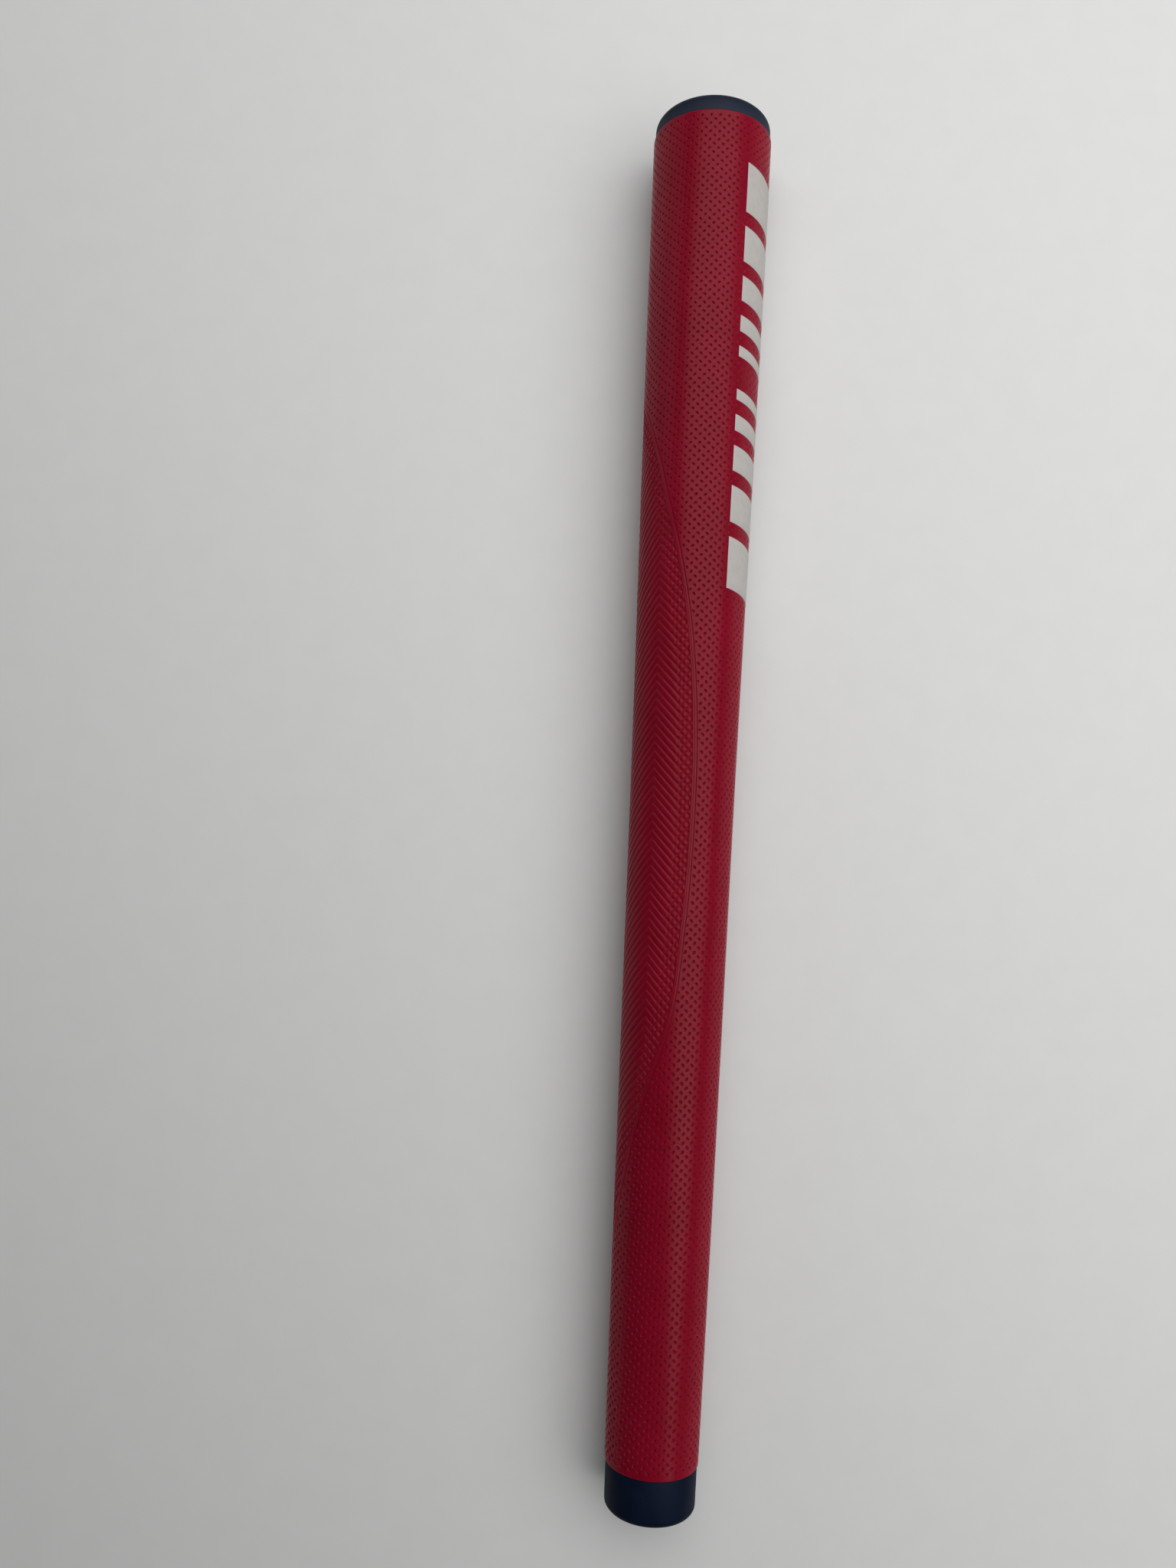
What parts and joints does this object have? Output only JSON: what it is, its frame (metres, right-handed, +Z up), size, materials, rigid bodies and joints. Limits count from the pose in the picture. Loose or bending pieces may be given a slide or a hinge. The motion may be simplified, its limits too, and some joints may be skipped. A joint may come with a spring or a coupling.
{
  "type": "golf grip",
  "caption": "Oversize round slip-on putter grip with a red embossed skin, a ribbed palm panel, a black domed butt cap and a black tip collar.",
  "frame": {"origin": "middle of the mouth of the shaft's bore, at the tip end", "axes": "+Y along the shaft's axis towards the butt, +Z up as the grip lies, +X towards the printed side, -X towards the palm panel"},
  "size_m": [0.0334, 0.381, 0.0334],
  "materials": {
    "red_skin": "embossed satin polyurethane",
    "seam": "satin polyurethane bead",
    "felt": "needled felt",
    "foam": "matte closed-cell foam",
    "black_cap": "matte moulded rubber",
    "black_collar": "matte moulded rubber",
    "white_print": "satin ink film"
  },
  "bodies": {
    "root": {"outer_skin": "red_skin", "seam_bead": "seam", "skin_backing": "felt", "foam_core": "foam", "butt_cap": "black_cap", "tip_collar": "black_collar", "print_marks": "white_print"}
  },
  "joints": []
}
